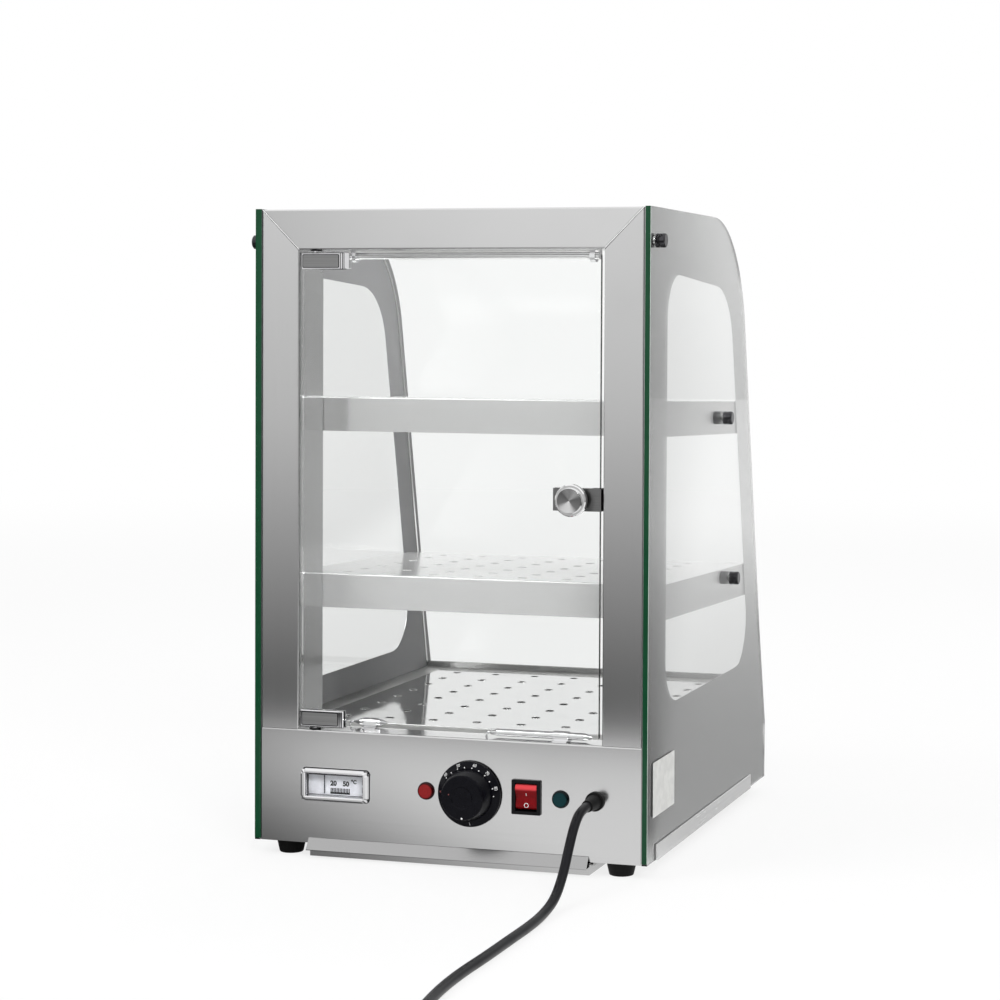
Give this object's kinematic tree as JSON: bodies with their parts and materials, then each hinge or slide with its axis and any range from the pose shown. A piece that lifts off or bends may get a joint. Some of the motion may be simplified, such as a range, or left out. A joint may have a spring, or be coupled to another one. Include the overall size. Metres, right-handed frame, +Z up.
{
  "type": "heated display case",
  "caption": "Counter-top heated display case with a hinged glass door, curved glass sides, sloping rear glass, two perforated shelves, thermostat, mains switch and pull-out drip tray.",
  "frame": {"origin": "on the surface that the case stands on, under the middle of its footprint without the lead", "axes": "+Z up, the door and controls face -Y, +X to the right of someone facing the door"},
  "size_m": [0.399, 1.146, 0.6],
  "materials": {
    "case_steel": "brushed stainless sheet, satin",
    "inner_steel": "plain stainless sheet",
    "deck_steel": "mirror-polished stainless sheet",
    "clear_glass": "clear float glass with dark green edges",
    "lamp_glass": "frosted tube with bright end caps",
    "silver_print": "silver print on the inner face of the glass",
    "chrome_fitting": "polished chrome",
    "zinc_fastener": "zinc-plated",
    "bush_nylon": "black nylon",
    "black_rubber": "matte black",
    "black_plastic": "moulded satin black",
    "dial_black": "moulded black, satin gloss",
    "rocker_red": "translucent red",
    "lens_red": "translucent red",
    "lens_green": "translucent dark green",
    "white_card": "printed white",
    "gauge_window": "clear",
    "pointer_grey": "painted dark grey",
    "insulator": "cream insulation",
    "dark_steel": "heat-tinted",
    "label_white": "bare, matte"
  },
  "bodies": {
    "cabinet": {"base_pan": "inner_steel", "blank_plate": "label_white", "control_panel": "case_steel", "cord_coil": "black_rubber", "cord_gland": "black_rubber", "deck_plate": "deck_steel", "element_supports": "inner_steel", "feet": "black_rubber", "frame_screws": "zinc_fastener", "green_lamp_lens": "lens_green", "header": "case_steel", "header_back_plate": "inner_steel", "heater_tray": "inner_steel", "heating_element": "dark_steel", "hinge_bushes": "bush_nylon", "lamp_bodies": "black_plastic", "lamp_holders": "insulator", "lamp_tube": "lamp_glass", "left_side_glass": "clear_glass", "left_stile": "case_steel", "lower_shelf": "case_steel", "magnet_catch": "black_plastic", "power_cord": "black_rubber", "power_plug": "black_rubber", "probe_clips": "chrome_fitting", "rear_glass": "clear_glass", "rear_glass_channel": "inner_steel", "rear_panel": "inner_steel", "red_lamp_lens": "lens_red", "right_side_glass": "clear_glass", "right_stile": "case_steel", "shelf_brackets": "inner_steel", "side_bolt_nuts": "zinc_fastener", "side_bolts": "chrome_fitting", "side_borders": "silver_print", "side_rails": "case_steel", "switch_housing": "black_plastic", "terminal_block": "insulator", "thermometer_bezel": "chrome_fitting", "thermometer_body": "black_plastic", "thermometer_face": "white_card", "thermometer_lens": "gauge_window", "thermometer_probe": "chrome_fitting", "thermostat_body": "black_plastic", "thermostat_probe": "chrome_fitting", "tray_runners": "inner_steel", "upper_shelf": "case_steel", "wiring": "insulator"},
    "door": {"door_glass": "clear_glass", "top_hinge_clip": "chrome_fitting", "bottom_hinge_clip": "chrome_fitting", "hinge_pins": "chrome_fitting", "door_catch_plate": "chrome_fitting", "door_knob": "chrome_fitting", "knob_screw": "zinc_fastener"},
    "drip_tray": {"drip_tray": "case_steel"},
    "dial": {"thermostat_knob": "dial_black", "thermostat_shaft": "zinc_fastener"},
    "rocker": {"switch_rocker": "rocker_red"},
    "pointer": {"thermometer_pointer": "pointer_grey"}
  },
  "joints": [
    {"name": "door_hinge", "type": "hinge", "parent": "cabinet", "child": "door", "pos_m": [-0.132, -0.2165, 0.34], "axis": [0, 0, -1], "range_deg": [0, 110]},
    {"name": "tray_slide", "type": "slide", "parent": "cabinet", "child": "drip_tray", "axis": [0, -1, 0], "range_m": [0, 0.3]},
    {"name": "dial_turn", "type": "hinge", "parent": "cabinet", "child": "dial", "pos_m": [0.0225, -0.222, 0.0681], "axis": [0, 1, 0], "range_deg": [0, 270]},
    {"name": "rocker_tilt", "type": "hinge", "parent": "cabinet", "child": "rocker", "pos_m": [0.0766, -0.2205, 0.0681], "axis": [-1, 0, 0], "range_deg": [0, 16]},
    {"name": "pointer_slide", "type": "slide", "parent": "cabinet", "child": "pointer", "axis": [1, 0, 0], "range_m": [0, 0.027]}
  ]
}
